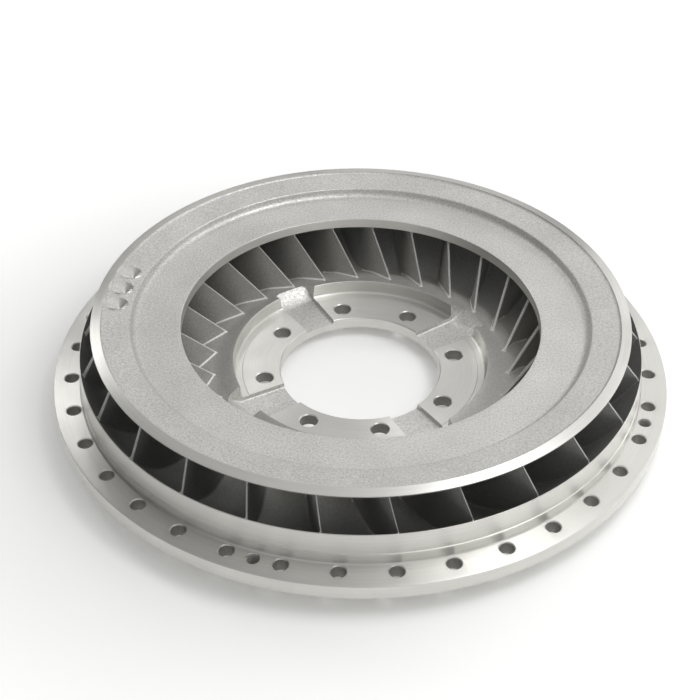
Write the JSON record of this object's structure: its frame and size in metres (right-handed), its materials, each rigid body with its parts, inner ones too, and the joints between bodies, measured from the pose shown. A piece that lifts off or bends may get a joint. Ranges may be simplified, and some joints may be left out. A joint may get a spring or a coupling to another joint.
{
  "type": "torque converter impeller",
  "caption": "Shrouded cast impeller ring with curved vanes between a bowl-shaped shell and a core ring, a wide bolting flange and a bolted hub.",
  "frame": {"origin": "on the axis of rotation, level with the flat resting face under the shell", "axes": "+Z along the axis of rotation, from the shell towards the core ring; +X through a hub bolt hole"},
  "size_m": [0.464, 0.464, 0.0746],
  "materials": {
    "hub_flange": "turned, satin bright, with fine circular tool marks",
    "counterbore_rim": "as cast, fine sand-cast grain",
    "shell_inner_wall": "as cast, fine sand-cast grain",
    "shell_floor": "as cast, fine sand-cast grain",
    "shell_outer_wall": "as cast, fine sand-cast grain",
    "shell_shoulder": "as cast, fine sand-cast grain",
    "outlet_band": "turned, satin bright, with fine circular tool marks",
    "bolting_flange": "turned, satin bright, with fine circular tool marks",
    "core_ring_inner": "as cast, fine sand-cast grain",
    "core_ring_outer": "as cast, fine sand-cast grain",
    "vane_01": "as cast, smooth core-box finish",
    "vane_02": "as cast, smooth core-box finish",
    "vane_03": "as cast, smooth core-box finish",
    "vane_04": "as cast, smooth core-box finish",
    "vane_05": "as cast, smooth core-box finish",
    "vane_06": "as cast, smooth core-box finish",
    "vane_07": "as cast, smooth core-box finish",
    "vane_08": "as cast, smooth core-box finish",
    "vane_09": "as cast, smooth core-box finish",
    "vane_10": "as cast, smooth core-box finish",
    "vane_11": "as cast, smooth core-box finish",
    "vane_12": "as cast, smooth core-box finish",
    "vane_13": "as cast, smooth core-box finish",
    "vane_14": "as cast, smooth core-box finish",
    "vane_15": "as cast, smooth core-box finish",
    "vane_16": "as cast, smooth core-box finish",
    "vane_17": "as cast, smooth core-box finish",
    "vane_18": "as cast, smooth core-box finish",
    "vane_19": "as cast, smooth core-box finish",
    "vane_20": "as cast, smooth core-box finish",
    "vane_21": "as cast, smooth core-box finish",
    "vane_22": "as cast, smooth core-box finish",
    "vane_23": "as cast, smooth core-box finish",
    "vane_24": "as cast, smooth core-box finish",
    "vane_25": "as cast, smooth core-box finish",
    "vane_26": "as cast, smooth core-box finish"
  },
  "bodies": {
    "root": {"hub_flange": "hub_flange", "counterbore_rim": "counterbore_rim", "shell_inner_wall": "shell_inner_wall", "shell_floor": "shell_floor", "shell_outer_wall": "shell_outer_wall", "shell_shoulder": "shell_shoulder", "outlet_band": "outlet_band", "bolting_flange": "bolting_flange", "core_ring_inner": "core_ring_inner", "core_ring_outer": "core_ring_outer", "vane_01": "vane_01", "vane_02": "vane_02", "vane_03": "vane_03", "vane_04": "vane_04", "vane_05": "vane_05", "vane_06": "vane_06", "vane_07": "vane_07", "vane_08": "vane_08", "vane_09": "vane_09", "vane_10": "vane_10", "vane_11": "vane_11", "vane_12": "vane_12", "vane_13": "vane_13", "vane_14": "vane_14", "vane_15": "vane_15", "vane_16": "vane_16", "vane_17": "vane_17", "vane_18": "vane_18", "vane_19": "vane_19", "vane_20": "vane_20", "vane_21": "vane_21", "vane_22": "vane_22", "vane_23": "vane_23", "vane_24": "vane_24", "vane_25": "vane_25", "vane_26": "vane_26"}
  },
  "joints": []
}
